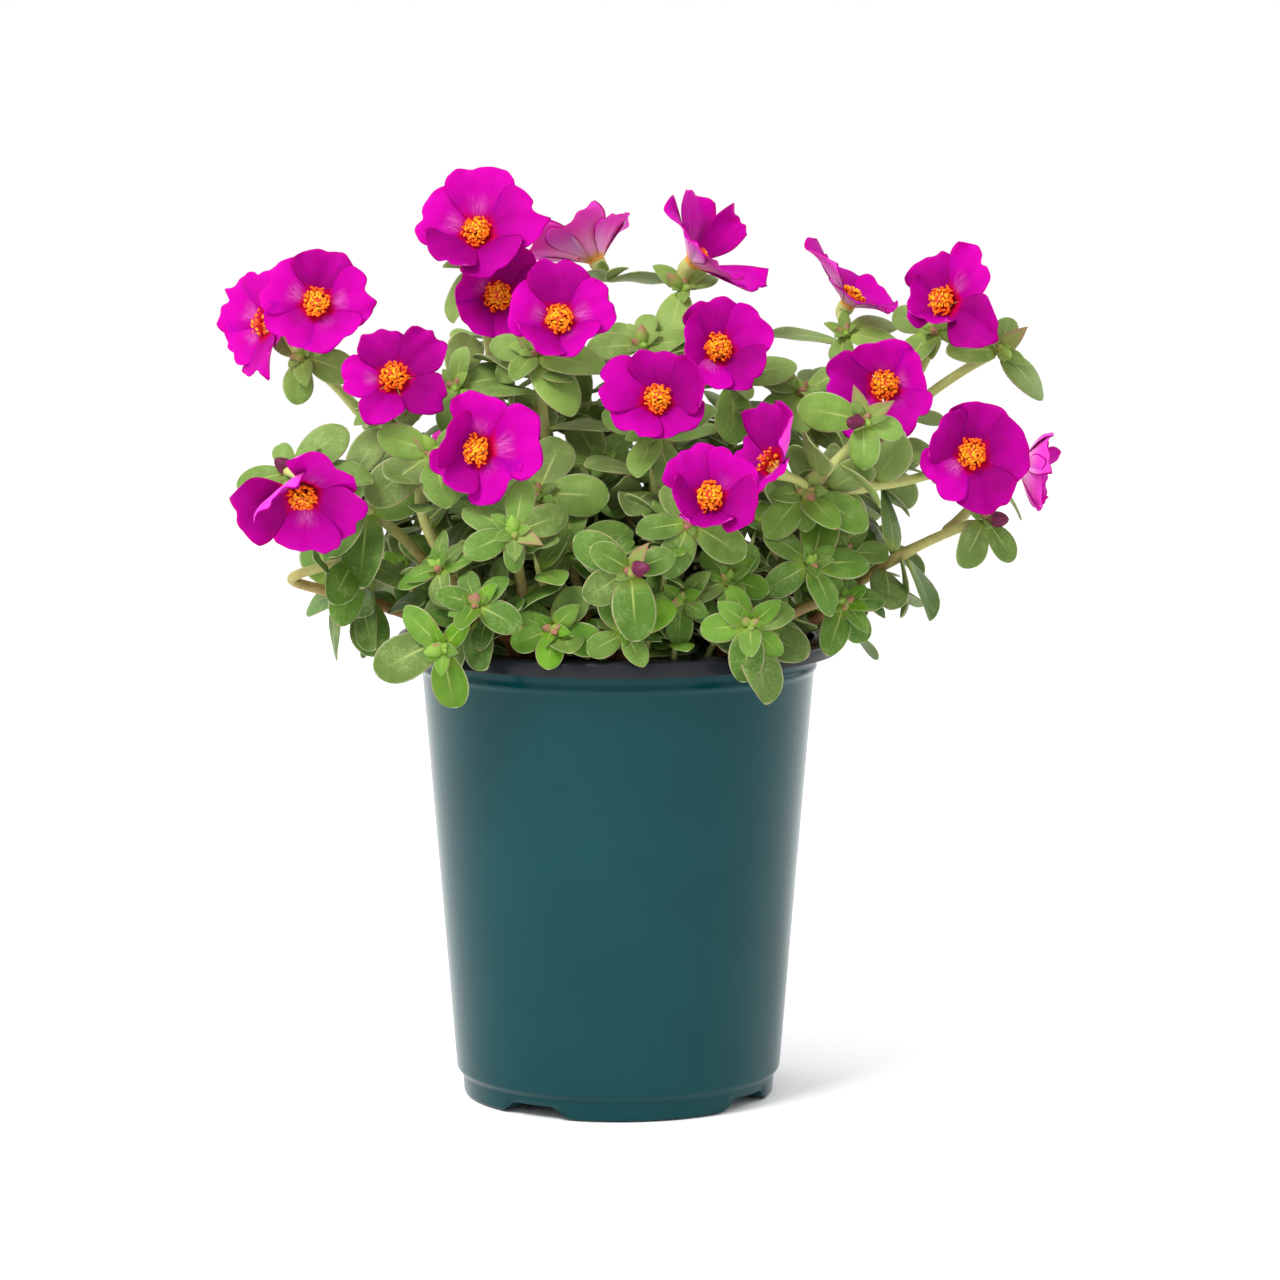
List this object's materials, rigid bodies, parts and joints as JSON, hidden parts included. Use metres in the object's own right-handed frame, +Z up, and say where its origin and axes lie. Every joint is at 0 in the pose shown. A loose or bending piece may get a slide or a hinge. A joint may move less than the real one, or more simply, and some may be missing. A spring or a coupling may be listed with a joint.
{
  "type": "potted portulaca",
  "caption": "Moss rose with succulent leaves on arching stems and open magenta blooms, growing in a round tapered nursery pot with a rolled brim and a notched foot.",
  "frame": {"origin": "middle of the flat face under the pot's floor on which the pot stands", "axes": "+Z up along the pot's axis; -Y towards the front, which most of the blooms face; +X to the right seen from the front"},
  "size_m": [0.3227, 0.2151, 0.3528],
  "materials": {
    "pot_plastic": "satin gloss, deep teal outside, black inside and over the brim",
    "potting_mix": "matte, dark peat and bark crumbs",
    "plant_green": "waxy grey-green leaves with a pale rim, tan-green stems",
    "petal_magenta": "silky vivid magenta, paler streaks to the base",
    "stamen_orange": "matte orange-yellow anthers on red-orange filaments"
  },
  "bodies": {
    "root": {"pot": "pot_plastic", "soil": "potting_mix", "plant_left": "plant_green", "plant_front_left": "plant_green", "plant_centre_left": "plant_green", "plant_centre": "plant_green", "plant_front": "plant_green", "plant_front_right": "plant_green", "plant_right": "plant_green", "plant_right_low": "plant_green", "plant_right_back": "plant_green", "plant_back_centre": "plant_green", "plant_back_left": "plant_green", "plant_back_right": "plant_green", "petals_01": "petal_magenta", "stamens_01": "stamen_orange", "petals_02": "petal_magenta", "stamens_02": "stamen_orange", "petals_03": "petal_magenta", "stamens_03": "stamen_orange", "petals_04": "petal_magenta", "stamens_04": "stamen_orange", "petals_05": "petal_magenta", "stamens_05": "stamen_orange", "petals_06": "petal_magenta", "stamens_06": "stamen_orange", "petals_07": "petal_magenta", "stamens_07": "stamen_orange", "petals_08": "petal_magenta", "stamens_08": "stamen_orange", "petals_09": "petal_magenta", "stamens_09": "stamen_orange", "petals_10": "petal_magenta", "stamens_10": "stamen_orange", "petals_11": "petal_magenta", "stamens_11": "stamen_orange", "petals_12": "petal_magenta", "stamens_12": "stamen_orange", "petals_13": "petal_magenta", "stamens_13": "stamen_orange", "petals_14": "petal_magenta", "stamens_14": "stamen_orange", "petals_15": "petal_magenta", "stamens_15": "stamen_orange", "petals_16": "petal_magenta", "stamens_16": "stamen_orange", "petals_17": "petal_magenta", "stamens_17": "stamen_orange", "petals_18": "petal_magenta", "stamens_18": "stamen_orange", "petals_19": "petal_magenta", "stamens_19": "stamen_orange", "petals_20": "petal_magenta", "stamens_20": "stamen_orange", "petals_21": "petal_magenta", "stamens_21": "stamen_orange", "petals_22": "petal_magenta", "stamens_22": "stamen_orange"}
  },
  "joints": []
}
